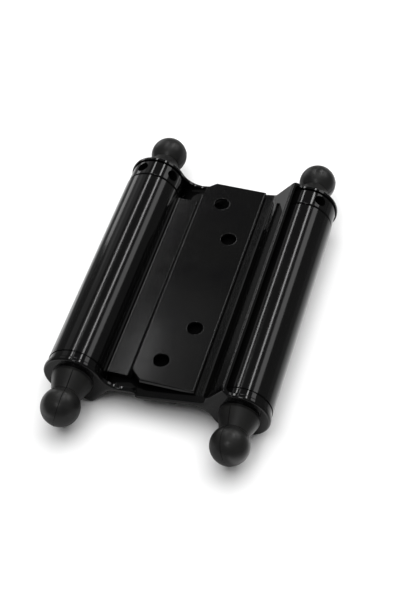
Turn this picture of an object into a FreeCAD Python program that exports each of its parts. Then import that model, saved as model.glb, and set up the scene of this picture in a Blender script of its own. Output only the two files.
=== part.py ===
"""Double action cafe hinge: two spring barrels with leaves, joined by a pressed web.

Frame: X from barrel a to barrel b, Y along the pins towards the tension collars, Z up.
The origin lies midway between the pin axes at half length.
"""
import FreeCAD
import Part
import Sketcher
import os
import re

# Lengths in millimetres, angles in degrees
DRIVING_SIZES = {
    # Whole hinge and running clearances
    "pin_spacing": 60.0,
    "pin_dia": 6.0,
    "pin_chamfer": 0.6,
    "running_gap": 0.05,
    "end_gap": 0.25,
    # Web: tilted plate, raised strip and ears
    "ear_face": 50.6,
    "ear_proud": 0.3,
    "web_thickness": 1.5,
    "web_tilt": 10.2,
    "crease_gap": 2.7,
    "crease_radius": 2.0,
    "strip_slope": 52.3,
    "strip_width": 11.2,
    "end_bend_radius": 2.7,
    "lip_drop": 1.45,
    "lip_change": 7.5,
    "lip_taper": 3.0,
    "lip_throat_radius": 8.0,
    "strip_throat_radius": 2.0,
    "web_edge_round": 0.7,
    # Leaf: rolled barrel, root strip, joggle and screw plate
    "barrel_radius": 10.5,
    "leaf_thickness": 1.4,
    "leaf_web_gap": 0.545,
    "leaf_side_gap": 3.5,
    "leaf_end_gap": 0.8,
    "leaf_edge_round": 0.5,
    "root_width": 9.4,
    "root_inset": 0.8,
    "root_fillet": 0.9,
    "roll_slit": 0.5,
    "joggle_run": 1.6,
    "joggle_radius": 0.6,
    "fold_round": 0.8,
    "corner_along": 3.0,
    "corner_across": 4.0,
    "screw_dia": 5.5,
    "screw_sink": 0.6,
    "screw_rim": 0.35,
    "outer_screw_at": 38.25,
    "outer_screw_across": 1.35,
    "inner_screw_at": 21.7,
    "inner_screw_across": 5.9,
    # Bottom bush and tension collar
    "ring_inset": 0.2,
    "ring_round": 0.45,
    "bush_reach": 3.1,
    "collar_reach": 8.1,
    "seam_gap": 0.8,
    "spigot_length": 5.0,
    "spigot_gap": 0.1,
    "bar_hole_dia": 4.4,
    "bar_hole_depth": 5.0,
    "bar_hole_inset": 3.5,
    "bar_hole_count": 5,
    "bar_angle_first": 46.0,
    "bar_angle_second": 61.8,
    # Ball finial
    "ball_radius": 6.95,
    "ball_lift": 12.2,
    "neck_foot_radius": 7.4,
    "neck_top_radius": 5.2,
    "neck_foot_band": 1.0,
    "neck_groove": 0.35,
    "socket_depth": 8.0,
    # Torsion spring
    "spring_gap": 1.6,
    "wire_wide": 2.2,
    "wire_high": 2.6,
    "coil_turns": 9,
    "tang_length": 3.0,
    "tang_gap": 0.15,
}

doc = FreeCAD.newDocument("cafe_hinge")
sheet = doc.addObject("Spreadsheet::Sheet", "Sizes")
for row, (alias, value) in enumerate(DRIVING_SIZES.items(), start=1):
    sheet.set(f"A{row}", alias)
    sheet.set(f"B{row}", str(value))
    sheet.setAlias(f"B{row}", alias)
doc.recompute()

# Derived lengths, written with the sheet's own words
HALF_SPACING = "(pin_spacing / 2)"
PIN_BORE = "(pin_dia / 2 + running_gap)"
PIN_REACH = "(ear_face + socket_depth - end_gap)"

EAR_INNER = "(ear_face - web_thickness)"
EAR_RADIUS = "(barrel_radius + ear_proud)"
WEB_FLOOR = f"(-{EAR_RADIUS})"
WEB_LEVEL = "(web_thickness / 2 / cos(web_tilt))"
WEB_CREASE = f"({HALF_SPACING} - barrel_radius - crease_gap)"
CREASE_LEVEL = f"({WEB_LEVEL} + {WEB_CREASE} * tan(web_tilt))"
STRIP_EDGE = f"({WEB_CREASE} + strip_width * cos(strip_slope))"
STRIP_TOP = f"({CREASE_LEVEL} + strip_width * sin(strip_slope))"
STRIP_END = f"({STRIP_TOP} - ({HALF_SPACING} - {STRIP_EDGE}) / tan(strip_slope))"

BARREL_BORE = "(barrel_radius - leaf_thickness)"
BARREL_LOW = f"({EAR_INNER} - bush_reach)"
BARREL_HIGH = f"({EAR_INNER} - collar_reach)"
ROOT_HALF = "(leaf_thickness / 2)"
LEAF_HALF = f"({EAR_INNER} - leaf_end_gap)"
LEAF_FOLD = f"({HALF_SPACING} - barrel_radius - root_width)"
LEAF_EDGE = f"({WEB_CREASE} - leaf_side_gap)"
LEAF_UNDER = f"({WEB_LEVEL} + {LEAF_EDGE} * tan(web_tilt) + leaf_web_gap)"
LEAF_TOP = f"({LEAF_UNDER} + leaf_thickness)"

RING_RADIUS = "(barrel_radius - ring_inset)"
RING_END = f"({EAR_INNER} - end_gap)"
SPIGOT_RADIUS = f"({BARREL_BORE} - spigot_gap)"
COLLAR_FOOT = f"({BARREL_HIGH} + seam_gap)"
BAR_HOLE_AT = f"({EAR_INNER} - bar_hole_inset)"

COIL_RADIUS = f"({BARREL_BORE} - spring_gap - wire_wide / 2)"
SPRING_LOW = f"(spigot_length + end_gap - {BARREL_LOW})"
SPRING_HIGH = f"({COLLAR_FOOT} - spigot_length - end_gap)"
NECK_HIGH = "(ball_lift - sqrt(ball_radius ^ 2 - neck_top_radius ^ 2))"

SLACK = 0.02


def bound(text):
    """Expression text with each size word pointed at its cell of the sheet."""
    return re.sub(r"\b([a-z]+(?:_[a-z]+)+)\b", r"Sizes.\1", str(text))


def number(text):
    """Value of a size expression in millimetres, degrees or a count."""
    return float(sheet.evalExpression(bound(text)))


def bind(target, path, text):
    target.setExpression(path, bound(text))


def new_body(label):
    body = doc.addObject("PartDesign::Body", label)
    body.Label = label
    return body


def origin_item(body, role):
    """Plane or axis of the body's own origin."""
    return next(item for item in body.Origin.OriginFeatures if item.Role == role)


def new_sketch(body, name, role, lift="0"):
    """Empty sketch on an origin plane of its body, lifted along the plane's normal."""
    sketch = body.newObject("Sketcher::SketchObject", name)
    sketch.AttachmentSupport = (origin_item(body, role), [""])
    sketch.MapMode = "FlatFace"
    bind(sketch, "AttachmentOffset.Base.z", lift)
    return sketch


def hold_point(sketch, geometry, position, across, up):
    """Fix a sketch point by its two distances from the origin."""
    for kind, text in (("DistanceX", across), ("DistanceY", up)):
        place = sketch.addConstraint(Sketcher.Constraint(kind, -1, 1, geometry, position, number(text)))
        bind(sketch, f"Constraints[{place}]", text)


def draw_polygon(sketch, corners):
    """Closed outline of straight edges; every corner is a pair of size expressions."""
    points = [FreeCAD.Vector(number(across), number(up), 0) for across, up in corners]
    first = sketch.GeometryCount
    count = len(points)
    for index in range(count):
        sketch.addGeometry(Part.LineSegment(points[index], points[(index + 1) % count]))
    for index in range(count):
        following = first + (index + 1) % count
        sketch.addConstraint(Sketcher.Constraint("Coincident", first + index, 2, following, 1))
    for index, (across, up) in enumerate(corners):
        hold_point(sketch, first + index, 1, across, up)


def draw_rectangle(sketch, left, right, low, high):
    draw_polygon(sketch, [(left, low), (right, low), (right, high), (left, high)])


def draw_circle(sketch, across, up, radius):
    centre = FreeCAD.Vector(number(across), number(up), 0)
    circle = sketch.addGeometry(Part.Circle(centre, FreeCAD.Vector(0, 0, 1), number(radius)))
    hold_point(sketch, circle, 3, across, up)
    place = sketch.addConstraint(Sketcher.Constraint("Radius", circle, number(radius)))
    bind(sketch, f"Constraints[{place}]", radius)


def add_feature(body, kind, name, sketch):
    feature = body.newObject(f"PartDesign::{kind}", name)
    feature.Profile = sketch
    return feature


def pad_along(body, name, sketch, length, reverse=False):
    pad = add_feature(body, "Pad", name, sketch)
    bind(pad, "Length", length)
    pad.Reversed = reverse
    doc.recompute()


def pad_both_ways(body, name, sketch, length):
    pad = add_feature(body, "Pad", name, sketch)
    bind(pad, "Length", length)
    pad.SideType = "Symmetric"
    doc.recompute()


def check_cut(body, name, before):
    if body.Shape.Volume >= before:
        raise RuntimeError(f"{body.Label} {name} cut nothing")


def cut_through(body, name, sketch):
    """Pocket both ways through the whole body, checked to have removed something."""
    before = body.Shape.Volume
    pocket = add_feature(body, "Pocket", name, sketch)
    pocket.Type = "ThroughAll"
    pocket.SideType = "Symmetric"
    doc.recompute()
    check_cut(body, name, before)


def cut_both_ways(body, name, sketch, length):
    before = body.Shape.Volume
    pocket = add_feature(body, "Pocket", name, sketch)
    bind(pocket, "Length", length)
    pocket.SideType = "Symmetric"
    doc.recompute()
    check_cut(body, name, before)


def cut_along(body, name, sketch, length, reverse=False):
    before = body.Shape.Volume
    pocket = add_feature(body, "Pocket", name, sketch)
    bind(pocket, "Length", length)
    pocket.Reversed = reverse
    doc.recompute()
    check_cut(body, name, before)
    return pocket


def turn_about_y(body, name, sketch):
    turned = add_feature(body, "Revolution", name, sketch)
    turned.ReferenceAxis = (sketch, ["V_Axis"])
    doc.recompute()


def edges_where(body, test):
    """Names of the edges of a body's tip that pass a test."""
    edges = body.Tip.Shape.Edges
    return [f"Edge{place}" for place, edge in enumerate(edges, start=1) if test(edge)]


def dress(body, kind, name, edges, path, text):
    """Fillet or chamfer on chosen edges of the body's tip."""
    if not edges:
        raise RuntimeError(f"{body.Label} {name} found no edge")
    tip = body.Tip
    feature = body.newObject(f"PartDesign::{kind}", name)
    feature.Base = (tip, edges)
    bind(feature, path, text)
    doc.recompute()


def fillet(body, name, edges, radius):
    dress(body, "Fillet", name, edges, "Radius", radius)


def chamfer(body, name, edges, size):
    dress(body, "Chamfer", name, edges, "Size", size)


def near(value, target):
    return abs(value - target) < SLACK


def is_lengthwise(edge):
    """True for a straight edge along Y."""
    box = edge.BoundBox
    return near(box.XLength, 0) and near(box.ZLength, 0) and box.YLength > SLACK


def lengthwise_at(across, up):
    """Test for straight edges along Y at a given place in the section."""
    def test(edge):
        middle = edge.BoundBox.Center
        return is_lengthwise(edge) and near(middle.x, number(across)) and near(middle.z, number(up))
    return test


def is_arc(edge, radius):
    """True for a circular edge of a given radius."""
    return hasattr(edge.Curve, "Radius") and near(edge.Curve.Radius, number(radius))


def turn_over(body):
    """Half a turn about Y, which carries each side of the hinge onto the other."""
    body.Placement = FreeCAD.Placement(FreeCAD.Vector(), FreeCAD.Rotation(FreeCAD.Vector(0, 1, 0), 180))


def make_leaf(label, turned):
    """Leaf and barrel rolled from one sheet; the second leaf is the first turned over about Y."""
    body = new_body(label)
    axis_at = f"(-{HALF_SPACING})"
    ring = new_sketch(body, f"{label}_ring", "XZ_Plane", BARREL_LOW)
    draw_circle(ring, axis_at, "0", "barrel_radius")
    draw_circle(ring, axis_at, "0", BARREL_BORE)
    pad_along(body, f"{label}_barrel", ring, f"{BARREL_LOW} + {BARREL_HIGH}", reverse=True)

    slit = new_sketch(body, f"{label}_slit", "XZ_Plane")
    draw_rectangle(slit, axis_at, f"{axis_at} + barrel_radius + leaf_thickness",
                   f"-{ROOT_HALF} - roll_slit", f"-{ROOT_HALF}")
    cut_through(body, f"{label}_slit_cut", slit)

    fold_end = f"({LEAF_HALF} - corner_along)"
    root_low = f"({fold_end} - root_inset)"
    joggle_lift = f"({LEAF_UNDER} + {ROOT_HALF})"
    joggle_turn = f"(atan({joggle_lift} / joggle_run))"
    corner_shift = f"(leaf_thickness * tan({joggle_turn} / 2))"
    in_wall = f"({axis_at} + barrel_radius - leaf_thickness / 2)"
    under_plate = f"(leaf_thickness * 2 - {LEAF_FOLD})"
    outer_foot = (f"{corner_shift} - {LEAF_FOLD} - joggle_run", f"-{ROOT_HALF}")
    inner_foot = (f"-{LEAF_FOLD} - joggle_run", ROOT_HALF)
    outer_top = (f"-{LEAF_FOLD}", LEAF_TOP)
    inner_top = (f"{corner_shift} - {LEAF_FOLD}", LEAF_UNDER)
    root = new_sketch(body, f"{label}_root", "XZ_Plane", root_low)
    draw_polygon(root, [
        (in_wall, f"-{ROOT_HALF}"), outer_foot, inner_top, (under_plate, LEAF_UNDER),
        (under_plate, LEAF_TOP), outer_top, inner_foot, (in_wall, ROOT_HALF),
    ])
    pad_along(body, f"{label}_root_strip", root, f"{root_low} + {BARREL_HIGH}", reverse=True)
    crease = f"({axis_at} + sqrt(barrel_radius ^ 2 - {ROOT_HALF} ^ 2))"
    fillet(body, f"{label}_root_crease", edges_where(body, lengthwise_at(crease, ROOT_HALF)), "root_fillet")
    for name, places, radius in (("outer_folds", (outer_top, outer_foot), "fold_round"),
                                 ("inner_folds", (inner_top, inner_foot), "joggle_radius")):
        folds = []
        for across, up in places:
            folds += edges_where(body, lengthwise_at(across, up))
        fillet(body, f"{label}_{name}", folds, radius)

    plate_left = f"(fold_round - {LEAF_FOLD})"
    corner_left = f"(corner_across - {LEAF_FOLD})"
    plate = new_sketch(body, f"{label}_plate", "XY_Plane", LEAF_UNDER)
    draw_polygon(plate, [
        (plate_left, f"-{fold_end}"),
        (corner_left, f"-{LEAF_HALF}"),
        (LEAF_EDGE, f"-{LEAF_HALF}"),
        (LEAF_EDGE, LEAF_HALF),
        (corner_left, LEAF_HALF),
        (plate_left, fold_end),
    ])
    pad_along(body, f"{label}_plate_pad", plate, "leaf_thickness")

    screws = new_sketch(body, f"{label}_screws", "XY_Plane")
    screw_places = (
        ("-outer_screw_across", "outer_screw_at"),
        ("inner_screw_across", "inner_screw_at"),
    )
    for across, along in screw_places:
        for side in ("", "-"):
            draw_circle(screws, across, f"{side}{along}", "screw_dia / 2")
    cut_through(body, f"{label}_screw_holes", screws)

    def hole_rim(level):
        def test(edge):
            return is_arc(edge, "screw_dia / 2") and near(edge.Curve.Center.z, number(level))
        return test

    def plate_rim(edge):
        box = edge.BoundBox
        flat = near(box.ZMin, number(LEAF_TOP)) and near(box.ZLength, 0)
        return flat and box.XMax > number(plate_left) + SLACK and edge.Curve.TypeId == "Part::GeomLine"

    chamfer(body, f"{label}_sinks", edges_where(body, hole_rim(LEAF_UNDER)), "screw_sink")
    fillet(body, f"{label}_rims", edges_where(body, hole_rim(LEAF_TOP)), "screw_rim")
    fillet(body, f"{label}_plate_round", edges_where(body, plate_rim), "leaf_edge_round")
    if turned:
        turn_over(body)
    return body


def lip_level(across, drop="lip_drop"):
    """Lower edge of the bent-down lip, a fixed drop below the underside of the tilted plate."""
    return f"(({across}) * tan(web_tilt) - {WEB_LEVEL} - {drop})"


def make_web_half(label, start, turned):
    """Part of the web from a cut across the plate out to one pair of ears.

    The plate folds up into the raised strip and bends down at both ends into lips and ears.
    """
    body = new_body(label)
    section = new_sketch(body, f"{label}_section", "XZ_Plane")
    draw_polygon(section, [
        (start, lip_level(start)),
        (HALF_SPACING, lip_level(HALF_SPACING)),
        (HALF_SPACING, STRIP_END),
        (STRIP_EDGE, STRIP_TOP),
        (WEB_CREASE, CREASE_LEVEL),
        (start, f"{WEB_LEVEL} + {start} * tan(web_tilt)"),
    ])
    pad_both_ways(body, f"{label}_block", section, "2 * ear_face")
    ear = new_sketch(body, f"{label}_ear", "XZ_Plane")
    draw_circle(ear, HALF_SPACING, "0", EAR_RADIUS)
    pad_both_ways(body, f"{label}_ear_block", ear, "2 * ear_face")

    def on_ear_rim(edge):
        middle = edge.BoundBox.Center
        from_axis = ((middle.x - number(HALF_SPACING)) ** 2 + middle.z ** 2) ** 0.5
        return is_lengthwise(edge) and near(from_axis, number(EAR_RADIUS)) and middle.x < number(HALF_SPACING)

    def lip_throat(edge):
        return on_ear_rim(edge) and edge.BoundBox.Center.z < number(LEAF_TOP)

    def strip_throat(edge):
        return on_ear_rim(edge) and edge.BoundBox.Center.z > number(LEAF_TOP)

    crease = edges_where(body, lengthwise_at(WEB_CREASE, CREASE_LEVEL))
    fillet(body, f"{label}_crease", crease, "crease_radius")
    fillet(body, f"{label}_lip_throat", edges_where(body, lip_throat), "lip_throat_radius")
    fillet(body, f"{label}_strip_throat", edges_where(body, strip_throat), "strip_throat_radius")

    strip_edge = number(STRIP_EDGE)

    def on_end(edge):
        box = edge.BoundBox
        return near(abs(box.Center.y), number("ear_face")) and near(box.YLength, 0)

    def top_rim(edge):
        box = edge.BoundBox
        above_plate = box.ZMin > number(lip_level(box.XMin)) + number("lip_drop")
        return on_end(edge) and box.XLength > SLACK and above_plate and box.XMax < strip_edge + SLACK

    fillet(body, f"{label}_end_bend", edges_where(body, top_rim), "end_bend_radius")

    fold_shift = "(web_thickness * tan((strip_slope - web_tilt) / 2))"
    inner_crease = (
        f"{WEB_CREASE} + web_thickness * sin(web_tilt) + {fold_shift} * cos(web_tilt)",
        f"{CREASE_LEVEL} - web_thickness * cos(web_tilt) + {fold_shift} * sin(web_tilt)",
    )
    inner_edge = f"({STRIP_EDGE} + web_thickness * sin(strip_slope))"
    inner_top = f"({STRIP_TOP} - web_thickness * cos(strip_slope))"
    before_cut = f"({start} - web_thickness)"
    hollow_top = f"({inner_top} + strip_width * sin(strip_slope))"
    hollow = new_sketch(body, f"{label}_hollow", "XZ_Plane")
    draw_polygon(hollow, [
        (before_cut, f"2 * {WEB_FLOOR}"),
        ("pin_spacing", f"2 * {WEB_FLOOR}"),
        ("pin_spacing", hollow_top),
        (f"{inner_edge} + strip_width * cos(strip_slope)", hollow_top),
        inner_crease,
        (before_cut, lip_level(before_cut, "0")),
    ])
    cut_both_ways(body, f"{label}_hollow_cut", hollow, f"2 * {EAR_INNER}")
    under_crease = edges_where(body, lengthwise_at(*inner_crease))
    fillet(body, f"{label}_under_crease", under_crease, "crease_radius + web_thickness")

    def inner_rim(edge):
        box = edge.BoundBox
        on_wall = near(abs(box.Center.y), number(EAR_INNER)) and near(box.YLength, 0)
        under_plate = box.ZMin > number(lip_level(box.XMin, "0")) - SLACK
        return on_wall and box.XLength > SLACK and under_plate and box.XMax < number(inner_edge) + SLACK

    inner_bend = "(end_bend_radius - web_thickness)"
    fillet(body, f"{label}_inner_bend", edges_where(body, inner_rim), inner_bend)

    bores = new_sketch(body, f"{label}_bores", "XZ_Plane")
    draw_circle(bores, HALF_SPACING, "0", PIN_BORE)
    cut_through(body, f"{label}_bore_cut", bores)

    def ear_rim(edge):
        return on_end(edge) and is_arc(edge, EAR_RADIUS)

    fillet(body, f"{label}_edge_round", edges_where(body, ear_rim), "web_edge_round")
    taper = new_sketch(body, f"{label}_lip_taper", "XZ_Plane")
    draw_polygon(taper, [
        (start, lip_level(start, "lip_drop / 4")),
        (f"{start} + lip_taper", lip_level(f"{start} + lip_taper")),
        (f"{start} + lip_taper", lip_level(f"{start} + lip_taper", "lip_drop * 2")),
        (start, lip_level(start, "lip_drop * 2")),
    ])
    cut_through(body, f"{label}_lip_taper_cut", taper)
    if turned:
        turn_over(body)
    return body


def make_web():
    """One pressing in two features: the tilted plate joins them where the end lips change sides."""
    halves = [
        make_web_half("web_half_b", "(-lip_change)", turned=False),
        make_web_half("web_half_a", "lip_change", turned=True),
    ]
    web = doc.addObject("Part::MultiFuse", "web")
    web.Label = "web"
    web.Shapes = halves
    web.Refine = True
    doc.recompute()
    return web


def place_on_pin(body, side, along="0", flipped=False):
    """Move a piece modelled about the Y axis onto one of the pin axes."""
    if flipped:
        body.Placement.Rotation = FreeCAD.Rotation(FreeCAD.Vector(0, 0, 1), 180)
    bind(body, "Placement.Base.x", f"{side} * {HALF_SPACING}")
    bind(body, "Placement.Base.y", along)
    doc.recompute()
    return body


def make_pin(label, side):
    body = new_body(label)
    section = new_sketch(body, f"{label}_section", "XZ_Plane")
    draw_circle(section, "0", "0", "pin_dia / 2")
    pad_both_ways(body, f"{label}_rod", section, f"2 * {PIN_REACH}")
    rims = edges_where(body, lambda edge: is_arc(edge, "pin_dia / 2"))
    chamfer(body, f"{label}_tips", rims, "pin_chamfer")
    return place_on_pin(body, side)


def make_finial(label, side, flipped):
    """Moulded ball on a conical neck, with a blind socket for the pin."""
    body = new_body(label)
    profile = new_sketch(body, f"{label}_neck_profile", "XY_Plane")
    draw_polygon(profile, [
        ("0", "0"),
        ("neck_foot_radius", "0"),
        ("neck_foot_radius", "neck_foot_band"),
        ("neck_top_radius", f"{NECK_HIGH} - neck_groove"),
        ("neck_top_radius - neck_groove", NECK_HIGH),
        ("0", NECK_HIGH),
    ])
    turn_about_y(body, f"{label}_neck", profile)
    ball = body.newObject("PartDesign::AdditiveSphere", f"{label}_ball")
    bind(ball, "Radius", "ball_radius")
    ball.Placement.Rotation = FreeCAD.Rotation(FreeCAD.Vector(1, 0, 0), 90)
    bind(ball, "Placement.Base.y", "ball_lift")
    doc.recompute()
    socket = new_sketch(body, f"{label}_socket", "XZ_Plane")
    draw_circle(socket, "0", "0", PIN_BORE)
    cut_along(body, f"{label}_socket_cut", socket, "socket_depth")
    return place_on_pin(body, side, "-ear_face" if flipped else "ear_face", flipped)


def make_ring(label, corners, spigot_end, slot_reverse):
    """Turned ring with a spigot for the barrel, slotted for the spring and bored to run on the pin."""
    body = new_body(label)
    profile = new_sketch(body, f"{label}_profile", "XY_Plane")
    draw_polygon(profile, corners)
    turn_about_y(body, f"{label}_turned", profile)

    slot = new_sketch(body, f"{label}_slot", "XZ_Plane", f"-{spigot_end}")
    half = "(wire_wide / 2 + tang_gap)"
    draw_rectangle(slot, f"{COIL_RADIUS} - {half}", f"{COIL_RADIUS} + {half}", f"-{half}", half)
    cut_along(body, f"{label}_slot_cut", slot, "tang_length + tang_gap", slot_reverse)

    rims = edges_where(body, lambda edge: is_arc(edge, RING_RADIUS))
    fillet(body, f"{label}_rounds", rims, "ring_round")
    return body


def make_bush(label, side):
    """Bottom bush: its spigot is held in the barrel, its ring runs against the ear."""
    spigot_end = f"(spigot_length - {BARREL_LOW})"
    body = make_ring(label, [
        (PIN_BORE, f"-{RING_END}"),
        (RING_RADIUS, f"-{RING_END}"),
        (RING_RADIUS, f"-{BARREL_LOW}"),
        (BARREL_BORE, f"-{BARREL_LOW}"),
        (BARREL_BORE, spigot_end),
        (PIN_BORE, spigot_end),
    ], spigot_end, slot_reverse=True)
    return place_on_pin(body, side)


def make_collar(label, side, first_angle):
    """Tension collar: blind radial holes take a bar or the stop pin."""
    spigot_end = f"({COLLAR_FOOT} - spigot_length)"
    body = make_ring(label, [
        (PIN_BORE, spigot_end),
        (SPIGOT_RADIUS, spigot_end),
        (SPIGOT_RADIUS, COLLAR_FOOT),
        (RING_RADIUS, COLLAR_FOOT),
        (RING_RADIUS, RING_END),
        (PIN_BORE, RING_END),
    ], spigot_end, slot_reverse=False)

    hole = new_sketch(body, f"{label}_bar_hole", "XY_Plane")
    hole.AttachmentOffset = FreeCAD.Placement(FreeCAD.Vector(), FreeCAD.Rotation(FreeCAD.Vector(0, 1, 0), 0))
    hole_floor = f"({RING_RADIUS} - bar_hole_depth)"
    bind(hole, "AttachmentOffset.Rotation.Angle", f"90 - {first_angle}")
    bind(hole, "AttachmentOffset.Base.x", f"{hole_floor} * cos({first_angle})")
    bind(hole, "AttachmentOffset.Base.z", f"{hole_floor} * sin({first_angle})")
    draw_circle(hole, "0", BAR_HOLE_AT, "bar_hole_dia / 2")
    drilled = cut_along(body, f"{label}_bar_hole_cut", hole, "bar_hole_depth + ring_round", reverse=True)
    ring = body.newObject("PartDesign::PolarPattern", f"{label}_bar_holes")
    ring.Originals = [drilled]
    ring.Axis = (origin_item(body, "Y_Axis"), [""])
    ring.Angle = 360
    bind(ring, "Occurrences", "bar_hole_count")
    body.Tip = ring
    doc.recompute()
    return place_on_pin(body, side)


def make_spring(label, side):
    """Torsion spring of flat wire; one straight tang at each end."""
    body = new_body(label)
    left = f"({COIL_RADIUS} - wire_wide / 2)"
    right = f"({COIL_RADIUS} + wire_wide / 2)"
    section = new_sketch(body, f"{label}_section", "XY_Plane")
    draw_rectangle(section, left, right, SPRING_LOW, f"{SPRING_LOW} + wire_high")
    coil = add_feature(body, "AdditiveHelix", f"{label}_coil", section)
    coil.ReferenceAxis = (section, ["V_Axis"])
    coil.Mode = "height-turns-angle"
    bind(coil, "Height", f"{SPRING_HIGH} - {SPRING_LOW} - wire_high")
    bind(coil, "Turns", "coil_turns")
    doc.recompute()
    overlap = "(wire_high / 2)"
    ends = (
        ("low", f"-{SPRING_LOW} - {overlap}", False),
        ("high", f"{overlap} - {SPRING_HIGH}", True),
    )
    for end, lift, reverse in ends:
        tang = new_sketch(body, f"{label}_tang_{end}", "XZ_Plane", lift)
        draw_rectangle(tang, left, right, "-wire_wide / 2", "wire_wide / 2")
        pad_along(body, f"{label}_tang_{end}_pad", tang, f"tang_length - end_gap + {overlap}", reverse)
    return place_on_pin(body, side)


def check_document():
    """Stop if any feature failed to build."""
    for item in doc.Objects:
        if "Invalid" in item.State or "Error" in item.State:
            raise RuntimeError(f"{item.Label} failed: {item.State}")


def write_parts(pieces):
    os.makedirs("parts", exist_ok=True)
    for piece in pieces:
        shape = piece.Shape
        if shape.isNull() or not shape.isValid():
            raise RuntimeError(f"{piece.Label} has no valid shape")
        if len(shape.Solids) != 1:
            raise RuntimeError(f"{piece.Label} is not one solid")
        print(piece.Label, round(shape.Volume, 1))
        shape.exportStep(f"parts/{piece.Label}.step")


SIDE_A = -1
SIDE_B = 1

pieces = [
    make_leaf("leaf_a", turned=False),
    make_leaf("leaf_b", turned=True),
    make_web(),
    make_collar("collar_a", SIDE_A, "bar_angle_first"),
    make_collar("collar_b", SIDE_B, "bar_angle_second"),
]
for letter, side in (("a", SIDE_A), ("b", SIDE_B)):
    pieces.append(make_pin(f"pin_{letter}", side))
    pieces.append(make_bush(f"bush_{letter}", side))
    pieces.append(make_spring(f"spring_{letter}", side))
    pieces.append(make_finial(f"finial_{letter}_top", side, flipped=False))
    pieces.append(make_finial(f"finial_{letter}_bottom", side, flipped=True))

doc.recompute()
check_document()
write_parts(pieces)
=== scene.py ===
import bmesh
import bpy
import math
from mathutils import Matrix, Vector


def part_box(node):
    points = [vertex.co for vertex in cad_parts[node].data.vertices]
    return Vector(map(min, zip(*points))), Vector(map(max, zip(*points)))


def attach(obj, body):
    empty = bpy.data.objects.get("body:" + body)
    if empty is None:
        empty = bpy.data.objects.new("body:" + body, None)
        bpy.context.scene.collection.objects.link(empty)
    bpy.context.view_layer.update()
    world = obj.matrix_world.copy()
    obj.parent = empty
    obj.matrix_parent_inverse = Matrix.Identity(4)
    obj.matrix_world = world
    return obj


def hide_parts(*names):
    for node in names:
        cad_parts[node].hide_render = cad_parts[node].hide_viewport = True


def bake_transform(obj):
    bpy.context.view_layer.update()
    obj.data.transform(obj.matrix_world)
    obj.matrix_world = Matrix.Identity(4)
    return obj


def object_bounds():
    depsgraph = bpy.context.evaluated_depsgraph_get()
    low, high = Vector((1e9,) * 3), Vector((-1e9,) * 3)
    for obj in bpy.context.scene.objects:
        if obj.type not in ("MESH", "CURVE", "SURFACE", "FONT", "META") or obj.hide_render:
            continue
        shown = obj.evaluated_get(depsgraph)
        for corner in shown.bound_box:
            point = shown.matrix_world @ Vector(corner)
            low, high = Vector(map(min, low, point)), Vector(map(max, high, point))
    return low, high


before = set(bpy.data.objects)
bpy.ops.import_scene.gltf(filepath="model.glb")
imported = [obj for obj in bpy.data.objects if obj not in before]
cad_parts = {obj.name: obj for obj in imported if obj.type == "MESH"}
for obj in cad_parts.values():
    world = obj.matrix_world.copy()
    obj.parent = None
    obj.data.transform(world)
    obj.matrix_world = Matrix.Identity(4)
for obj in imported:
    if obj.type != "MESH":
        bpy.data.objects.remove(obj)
cad_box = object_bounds()

# Camera, in pixels, metres and the part's own axes
IMAGE_HEIGHT = 601
FOCAL_PIXELS = 1419.2
SENSOR = 36.0
CAMERA_AT = Vector((0.10562, -0.31506, 0.39488))
CAMERA_RIGHT = Vector((0.9590, 0.2820, -0.0282))
CAMERA_UP = Vector((-0.2003, 0.7448, 0.6365))
CLIP_NEAR = 0.01
CLIP_FAR = 50

# Floor and room: lengths in metres, greys from 0 to 1
FLOOR_SIDE = 12.0
FLOOR_DROP = 0.0001
FLOOR_COLOURS = ((0.84, 0.84, 0.84), (0.86, 0.86, 0.86))
FLOOR_CLOUD_SCALE = 3
FLOOR_ROUGHNESS = 0.9
ROOM_GREY = 0.11
BACKDROP_GREY = 0.95

# Painted reflection: the floor's grey as glossy rays alone see it, by its place across the
# barrels in metres; its bands paint the reflections along the barrels
PAINTED_REFLECTION_REACH = 0.1
PAINTED_REFLECTION_STOPS = (
    (-0.085, 0.10),
    (-0.056, 0.65),
    (-0.044, 0.30),
    (0.034, 0.25),
    (0.041, 0.95),
    (0.052, 0.60),
    (0.090, 0.10),
)

# Panels that face the part: name, azimuth and elevation in degrees, then distance, width
# and length in metres, then radiance
PANELS = (
    ("left_strip", -29.6, 45.7, 0.45, 0.028, 0.30, 5.5),
    ("middle_strip", 17, 49, 0.9, 0.06, 0.60, 6.5),
    ("right_panel", 38, 37, 0.9, 0.22, 0.60, 1.5),
    ("left_fill", -46, 30, 0.9, 0.31, 0.60, 0.2),
    ("front_spot", 190, 62, 0.9, 0.15, 0.15, 7.0),
    ("ceiling", 10, 80, 0.9, 0.70, 0.50, 0.45),
    ("left_glow", -26.3, 55.5, 0.9, 0.0095, 0.110, 4.3),
    ("left_veil", -23.8, 54.6, 0.9, 0.107, 0.157, 0.15),
)

# Cards that stand on the left or lie on the floor: name, place in metres, the way the front
# faces, width and length in metres, radiance
RIGHTWARD = (1, 0, 0)
UPWARD = (0, 0, 1)
SHEET_LEVEL = cad_box[0].z + FLOOR_DROP
CARDS = (
    ("left_card", (-0.26, 0.33, 0.024), RIGHTWARD, 0.072, 0.30, 1.6),
    ("left_haze", (-0.26, 0.34, 0.120), RIGHTWARD, 0.120, 0.30, 0.22),
    ("near_sheet", (-0.16, -0.07, SHEET_LEVEL), UPWARD, 0.20, 0.16, 0.5),
)

# Soft overhead light, which is kept out of the reflections
OVERHEAD_STRENGTH = 3.4
OVERHEAD_ANGLE = 70

# Noise textures: where their values mostly lie, and the middle part that colours change over
NOISE_DETAIL = 3.0
NOISE_LOW, NOISE_HIGH = 0.3, 0.7
RAMP_LOW, RAMP_HIGH = 0.35, 0.65

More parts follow.
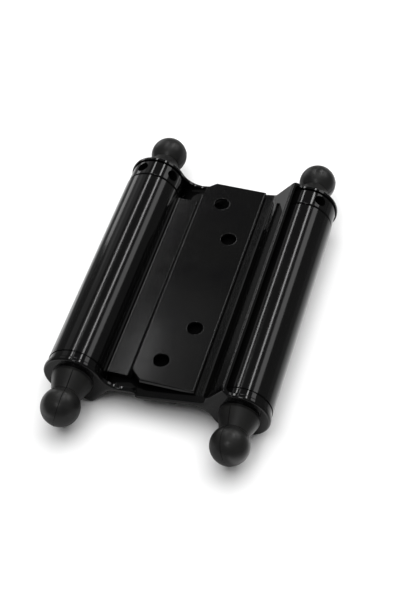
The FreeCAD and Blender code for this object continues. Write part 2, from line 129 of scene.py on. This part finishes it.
# Lacquer: two base colours, roughness ranges, noise scales per metre, peel height in metres
LACQUER_COLOURS = ((0.0012, 0.0012, 0.0014), (0.0020, 0.0020, 0.0019))
LEAF_ROUGHNESS = (0.10, 0.13)
GLOSS_ROUGHNESS = (0.06, 0.09)
LACQUER_CLOUD_SCALE = 60
LACQUER_GLOSS_SCALE = 180
PEEL_SCALE = 420
PEEL_DETAIL = 2.0
PEEL_HEIGHT = 0.00004
PEEL_STRENGTH = 0.12

# Moulded plastic and the lines where the halves of its mould met
PLASTIC_COLOURS = ((0.006, 0.006, 0.006), (0.010, 0.010, 0.0095))
PLASTIC_ROUGHNESS = (0.30, 0.40)
PLASTIC_CLOUD_SCALE = 140
PLASTIC_GLOSS_SCALE = 900
GRAIN_SCALE = 2600
GRAIN_DETAIL = 4.0
GRAIN_HEIGHT = 0.00003
GRAIN_STRENGTH = 0.35
# Parting lines: their darker colour is painted shade of the raised line; the rougher, duller
# plastic is real
PARTING_PAINTED_SHADE_COLOURS = ((0.0008, 0.0008, 0.0008), (0.003, 0.003, 0.003))
PARTING_ROUGHNESS = (0.45, 0.6)
PARTING_SCALE = 700
PARTING_SPECULAR = 0.25

# Bare steel; a small stretch along an axis draws the lines out along it
PIN_COLOUR = (0.56, 0.55, 0.53)
PIN_STRETCH = (1, 0.02, 1)
SPRING_COLOUR = (0.42, 0.41, 0.40)
SPRING_STRETCH = (0.2, 1, 0.2)
STEEL_DARKENING = 0.7
STEEL_ROUGHNESS = (0.22, 0.42)
STEEL_LINE_SCALE = 900
STEEL_LINE_HEIGHT = 0.00002
STEEL_LINE_STRENGTH = 0.3

# Moulded finials, in metres and degrees: the parting plane's angle about each pin
BALL_RADIUS = 0.00695
NECK_FOOT_RADIUS = 0.0074
NECK_TOP_RADIUS = 0.0052
NECK_FOOT_BAND = 0.001
SEAM_RADIUS = 0.00018
SEAM_PROUD = 0.00006
SEAM_STEPS = 28
SEAM_ROUNDNESS = 2
SEAM_STOP = 80
SEAM_ANGLES = {
    "finial_a_bottom": 80,
    "finial_b_bottom": 113,
    "finial_a_top": 5,
    "finial_b_top": 5,
}

# Springs, in metres: the gap between a spring's two lengths, and the distance under which two
# points of its mesh are one
SPRING_CUT = 0.0001
WELD_DISTANCE = 0.0000001

LEAF_NODES = ("leaf_a", "leaf_b")
LACQUER_NODES = ("web", "collar_a", "collar_b", "bush_a", "bush_b")
PLASTIC_NODES = ("finial_a_top", "finial_a_bottom", "finial_b_top", "finial_b_bottom")
PIN_NODES = ("pin_a", "pin_b")
SPRING_NODES = ("spring_a", "spring_b")


def principled_material(name):
    """New node material with its shader and an object-space coordinate output."""
    material = bpy.data.materials.new(name)
    material.use_nodes = True
    tree = material.node_tree
    shader = tree.nodes["Principled BSDF"]
    coordinates = tree.nodes.new("ShaderNodeTexCoord").outputs["Object"]
    return material, tree, shader, coordinates


def noise(tree, coordinates, scale, detail=NOISE_DETAIL):
    texture = tree.nodes.new("ShaderNodeTexNoise")
    texture.inputs["Scale"].default_value = scale
    texture.inputs["Detail"].default_value = detail
    tree.links.new(coordinates, texture.inputs["Vector"])
    return texture.outputs["Fac"]


def spread(tree, source, low, high):
    """Noise around one half, stretched between two values."""
    ranged = tree.nodes.new("ShaderNodeMapRange")
    ranged.inputs["From Min"].default_value = NOISE_LOW
    ranged.inputs["From Max"].default_value = NOISE_HIGH
    ranged.inputs["To Min"].default_value = low
    ranged.inputs["To Max"].default_value = high
    tree.links.new(source, ranged.inputs["Value"])
    return ranged.outputs["Result"]


def blend_colours(tree, source, first, second):
    """Noise around one half, turned into a soft change between two colours."""
    ramp = tree.nodes.new("ShaderNodeValToRGB")
    ramp.color_ramp.elements[0].position = RAMP_LOW
    ramp.color_ramp.elements[0].color = (*first, 1)
    ramp.color_ramp.elements[1].position = RAMP_HIGH
    ramp.color_ramp.elements[1].color = (*second, 1)
    tree.links.new(source, ramp.inputs["Fac"])
    return ramp.outputs["Color"]


def bump(tree, shader, height, distance, strength):
    node = tree.nodes.new("ShaderNodeBump")
    node.inputs["Distance"].default_value = distance
    node.inputs["Strength"].default_value = strength
    tree.links.new(height, node.inputs["Height"])
    tree.links.new(node.outputs["Normal"], shader.inputs["Normal"])


def lacquer(name, roughness):
    """Stoved gloss black on pressed steel, with a faint orange peel."""
    material, tree, shader, coordinates = principled_material(name)
    cloud = noise(tree, coordinates, LACQUER_CLOUD_SCALE)
    black = blend_colours(tree, cloud, *LACQUER_COLOURS)
    tree.links.new(black, shader.inputs["Base Color"])
    gloss = spread(tree, noise(tree, coordinates, LACQUER_GLOSS_SCALE), *roughness)
    tree.links.new(gloss, shader.inputs["Roughness"])
    peel = noise(tree, coordinates, PEEL_SCALE, PEEL_DETAIL)
    bump(tree, shader, peel, PEEL_HEIGHT, PEEL_STRENGTH)
    return material


def moulded_plastic():
    """Satin black plastic with the fine grain of a moulded surface."""
    material, tree, shader, coordinates = principled_material("moulded_black_plastic")
    cloud = noise(tree, coordinates, PLASTIC_CLOUD_SCALE)
    black = blend_colours(tree, cloud, *PLASTIC_COLOURS)
    tree.links.new(black, shader.inputs["Base Color"])
    gloss = spread(tree, noise(tree, coordinates, PLASTIC_GLOSS_SCALE), *PLASTIC_ROUGHNESS)
    tree.links.new(gloss, shader.inputs["Roughness"])
    grain = noise(tree, coordinates, GRAIN_SCALE, GRAIN_DETAIL)
    bump(tree, shader, grain, GRAIN_HEIGHT, GRAIN_STRENGTH)
    return material


def parting_painted_shade_plastic():
    """Duller plastic on the raised line where the two halves of the mould met, with a darker
    colour that is painted shade of the ridge.
    """
    material, tree, shader, coordinates = principled_material("parting_line_painted_shade_plastic")
    cloud = noise(tree, coordinates, PARTING_SCALE)
    black = blend_colours(tree, cloud, *PARTING_PAINTED_SHADE_COLOURS)
    tree.links.new(black, shader.inputs["Base Color"])
    tree.links.new(spread(tree, cloud, *PARTING_ROUGHNESS), shader.inputs["Roughness"])
    shader.inputs["Specular IOR Level"].default_value = PARTING_SPECULAR
    return material


def steel(name, colour, stretch):
    """Bright steel with fine lines drawn along the wire or rod."""
    material, tree, shader, coordinates = principled_material(name)
    mapping = tree.nodes.new("ShaderNodeMapping")
    mapping.inputs["Scale"].default_value = stretch
    tree.links.new(coordinates, mapping.inputs["Vector"])
    lines = noise(tree, mapping.outputs["Vector"], STEEL_LINE_SCALE)
    darker = tuple(part * STEEL_DARKENING for part in colour)
    tree.links.new(blend_colours(tree, lines, darker, colour), shader.inputs["Base Color"])
    tree.links.new(spread(tree, lines, *STEEL_ROUGHNESS), shader.inputs["Roughness"])
    shader.inputs["Metallic"].default_value = 1.0
    bump(tree, shader, lines, STEEL_LINE_HEIGHT, STEEL_LINE_STRENGTH)
    return material


def dress(nodes, material):
    for name in nodes:
        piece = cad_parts[name]
        piece.data.materials.clear()
        piece.data.materials.append(material)


def seam_lines(foot, tip, outward):
    """Paths of a parting line down the neck and over the ball, as pairs of radius and Y."""
    sunk = SEAM_RADIUS - SEAM_PROUD
    ball_at = tip - outward * BALL_RADIUS
    meeting = math.asin(NECK_TOP_RADIUS / BALL_RADIUS)
    neck_high = ball_at - outward * BALL_RADIUS * math.cos(meeting)
    neck = [
        (NECK_FOOT_RADIUS - sunk, foot + outward * NECK_FOOT_BAND),
        (NECK_TOP_RADIUS - sunk, neck_high),
    ]
    first, last = meeting - math.pi / 2, math.radians(SEAM_STOP)
    reach = BALL_RADIUS - sunk
    ball = []
    for step in range(SEAM_STEPS + 1):
        latitude = first + (last - first) * step / SEAM_STEPS
        along = ball_at + outward * reach * math.sin(latitude)
        ball.append((reach * math.cos(latitude), along))
    return neck, ball


def make_seam(name, angle, material):
    """Raised parting lines of a moulded finial, one on each side of it."""
    low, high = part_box(name)
    outward = 1 if high.y > 0 else -1
    foot, tip = (low.y, high.y) if outward > 0 else (high.y, low.y)
    centre_x = (low.x + high.x) / 2
    centre_z = (low.z + high.z) / 2
    data = bpy.data.curves.new(f"{name}_seam", "CURVE")
    data.dimensions = "3D"
    data.bevel_depth = SEAM_RADIUS
    data.bevel_resolution = SEAM_ROUNDNESS
    data.use_fill_caps = True
    for turn in (math.radians(angle), math.radians(angle + 180)):
        for line in seam_lines(foot, tip, outward):
            spline = data.splines.new("POLY")
            spline.points.add(len(line) - 1)
            for point, (out, along) in zip(spline.points, line):
                x = centre_x + out * math.cos(turn)
                z = centre_z + out * math.sin(turn)
                point.co = (x, along, z, 1)
    data.materials.append(material)
    seam = bpy.data.objects.new(f"{name}_seam", data)
    bpy.context.collection.objects.link(seam)
    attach(seam, "web_side")


def cut_spring(name, ending, keep_below, level):
    """Copy of a spring's coil up to a level, or from it, closed where it is cut."""
    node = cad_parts[name]
    mesh = node.data.copy()
    mesh.transform(node.matrix_world)
    shape = bmesh.new()
    shape.from_mesh(mesh)
    bmesh.ops.remove_doubles(shape, verts=shape.verts, dist=WELD_DISTANCE)
    outward = Vector((0, 1 if keep_below else -1, 0))
    everything = shape.verts[:] + shape.edges[:] + shape.faces[:]
    cut = bmesh.ops.bisect_plane(shape, geom=everything, plane_co=(0, level, 0),
                                 plane_no=outward, clear_outer=True)
    rim = [item for item in cut["geom_cut"] if isinstance(item, bmesh.types.BMEdge)]
    bmesh.ops.triangle_fill(shape, edges=rim, use_beauty=True, normal=outward)
    shape.to_mesh(mesh)
    shape.free()
    length = bpy.data.objects.new(f"{name}_{ending}", mesh)
    bpy.context.collection.objects.link(length)
    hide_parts(name)
    return length


def wind_spring(name):
    """Spring in two lengths, a foot and a head, cut apart at its middle."""
    low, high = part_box(name)
    middle = (low.y + high.y) / 2
    foot = cut_spring(name, "foot", True, middle - SPRING_CUT / 2)
    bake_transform(foot)
    head = cut_spring(name, "head", False, middle + SPRING_CUT / 2)
    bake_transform(head)


def make_camera():
    data = bpy.data.cameras.new("camera")
    data.sensor_width = SENSOR
    data.lens = FOCAL_PIXELS * SENSOR / IMAGE_HEIGHT
    data.clip_start = CLIP_NEAR
    data.clip_end = CLIP_FAR
    camera = bpy.data.objects.new("camera", data)
    right = CAMERA_RIGHT.normalized()
    back = right.cross(CAMERA_UP).normalized()
    up = back.cross(right)
    turn = Matrix((right, up, back)).transposed().to_4x4()
    camera.matrix_world = Matrix.Translation(CAMERA_AT) @ turn
    bpy.context.collection.objects.link(camera)
    bpy.context.scene.camera = camera


def direction(azimuth, elevation):
    """Unit vector; azimuth runs from +Y towards +X, elevation is above the floor."""
    around, above = math.radians(azimuth), math.radians(elevation)
    level = math.cos(above)
    return Vector((math.sin(around) * level, math.cos(around) * level, math.sin(above)))


def card(name, place, facing, across, along, radiance):
    """Glowing rectangle with its front towards facing and its length along the barrels."""
    data = bpy.data.lights.new(name, "AREA")
    data.shape = "RECTANGLE"
    data.size = across
    data.size_y = along
    data.energy = radiance * math.pi * across * along
    light = bpy.data.objects.new(name, data)
    back = -facing
    lengthwise = (Vector((0, 1, 0)) - back * back.y).normalized()
    sideways = lengthwise.cross(back)
    turn = Matrix((sideways, lengthwise, back)).transposed().to_4x4()
    light.matrix_world = Matrix.Translation(place) @ turn
    light.visible_camera = False
    bpy.context.collection.objects.link(light)


def make_lights():
    for name, azimuth, elevation, distance, across, along, radiance in PANELS:
        towards = direction(azimuth, elevation)
        card(name, towards * distance, -towards, across, along, radiance)
    for name, place, facing, across, along, radiance in CARDS:
        card(name, Vector(place), Vector(facing), across, along, radiance)
    data = bpy.data.lights.new("overhead", "SUN")
    data.energy = OVERHEAD_STRENGTH
    data.angle = math.radians(OVERHEAD_ANGLE)
    overhead = bpy.data.objects.new("overhead", data)
    overhead.visible_glossy = False
    bpy.context.collection.objects.link(overhead)


def make_world():
    """Dim grey room in the reflections, pale backdrop behind the floor."""
    world = bpy.data.worlds.new("studio")
    world.use_nodes = True
    tree = world.node_tree
    room = tree.nodes["Background"]
    room.inputs["Color"].default_value = (ROOM_GREY, ROOM_GREY, ROOM_GREY, 1)
    backdrop = tree.nodes.new("ShaderNodeBackground")
    backdrop.inputs["Color"].default_value = (BACKDROP_GREY, BACKDROP_GREY, BACKDROP_GREY, 1)
    mix = tree.nodes.new("ShaderNodeMixShader")
    ray = tree.nodes.new("ShaderNodeLightPath")
    tree.links.new(ray.outputs["Is Camera Ray"], mix.inputs["Fac"])
    tree.links.new(room.outputs["Background"], mix.inputs[1])
    tree.links.new(backdrop.outputs["Background"], mix.inputs[2])
    tree.links.new(mix.outputs["Shader"], tree.nodes["World Output"].inputs["Surface"])
    bpy.context.scene.world = world


def painted_reflection_grey(tree, coordinates):
    """Painted reflection: the floor's grey as reflections alone see it, by its place across
    the barrels.
    """
    place = tree.nodes.new("ShaderNodeSeparateXYZ")
    tree.links.new(coordinates, place.inputs["Vector"])
    across = tree.nodes.new("ShaderNodeMapRange")
    across.inputs["From Min"].default_value = -PAINTED_REFLECTION_REACH
    across.inputs["From Max"].default_value = PAINTED_REFLECTION_REACH
    tree.links.new(place.outputs["X"], across.inputs["Value"])
    ramp = tree.nodes.new("ShaderNodeValToRGB")
    stops = ramp.color_ramp.elements
    while len(stops) < len(PAINTED_REFLECTION_STOPS):
        stops.new(0.5)
    for stop, (x, grey) in zip(stops, PAINTED_REFLECTION_STOPS):
        stop.position = (x + PAINTED_REFLECTION_REACH) / (2 * PAINTED_REFLECTION_REACH)
        stop.color = (grey, grey, grey, 1)
    tree.links.new(across.outputs["Result"], ramp.inputs["Fac"])
    return ramp.outputs["Color"]


def make_floor():
    mesh = bpy.data.meshes.new("floor")
    shape = bmesh.new()
    bmesh.ops.create_grid(shape, x_segments=1, y_segments=1, size=FLOOR_SIDE / 2)
    shape.to_mesh(mesh)
    shape.free()
    floor = bpy.data.objects.new("floor", mesh)
    floor.location.z = cad_box[0].z - FLOOR_DROP
    bpy.context.collection.objects.link(floor)
    material, tree, shader, coordinates = principled_material("pale_floor_and_painted_reflection")
    cloud = noise(tree, coordinates, FLOOR_CLOUD_SCALE)
    paper = blend_colours(tree, cloud, *FLOOR_COLOURS)
    painted_reflection = painted_reflection_grey(tree, coordinates)
    # Glossy rays see the painted reflection grey; camera and other rays see the even pale
    # floor
    ray = tree.nodes.new("ShaderNodeLightPath")
    seen = tree.nodes.new("ShaderNodeMix")
    seen.data_type = "RGBA"
    tree.links.new(ray.outputs["Is Glossy Ray"], seen.inputs["Factor"])
    tree.links.new(paper, seen.inputs["A"])
    tree.links.new(painted_reflection, seen.inputs["B"])
    tree.links.new(seen.outputs["Result"], shader.inputs["Base Color"])
    shader.inputs["Roughness"].default_value = FLOOR_ROUGHNESS
    mesh.materials.append(material)


dress(LEAF_NODES, lacquer("leaf_lacquer", LEAF_ROUGHNESS))
dress(LACQUER_NODES, lacquer("gloss_black_lacquer", GLOSS_ROUGHNESS))
dress(PLASTIC_NODES, moulded_plastic())
parting_painted_shade = parting_painted_shade_plastic()
for finial, parting_angle in SEAM_ANGLES.items():
    make_seam(finial, parting_angle, parting_painted_shade)
dress(PIN_NODES, steel("pin_steel", PIN_COLOUR, PIN_STRETCH))
dress(SPRING_NODES, steel("spring_steel", SPRING_COLOUR, SPRING_STRETCH))
wind_spring("spring_a")
wind_spring("spring_b")
make_camera()
make_lights()
make_world()
make_floor()
bpy.context.scene.view_settings.view_transform = "Standard"
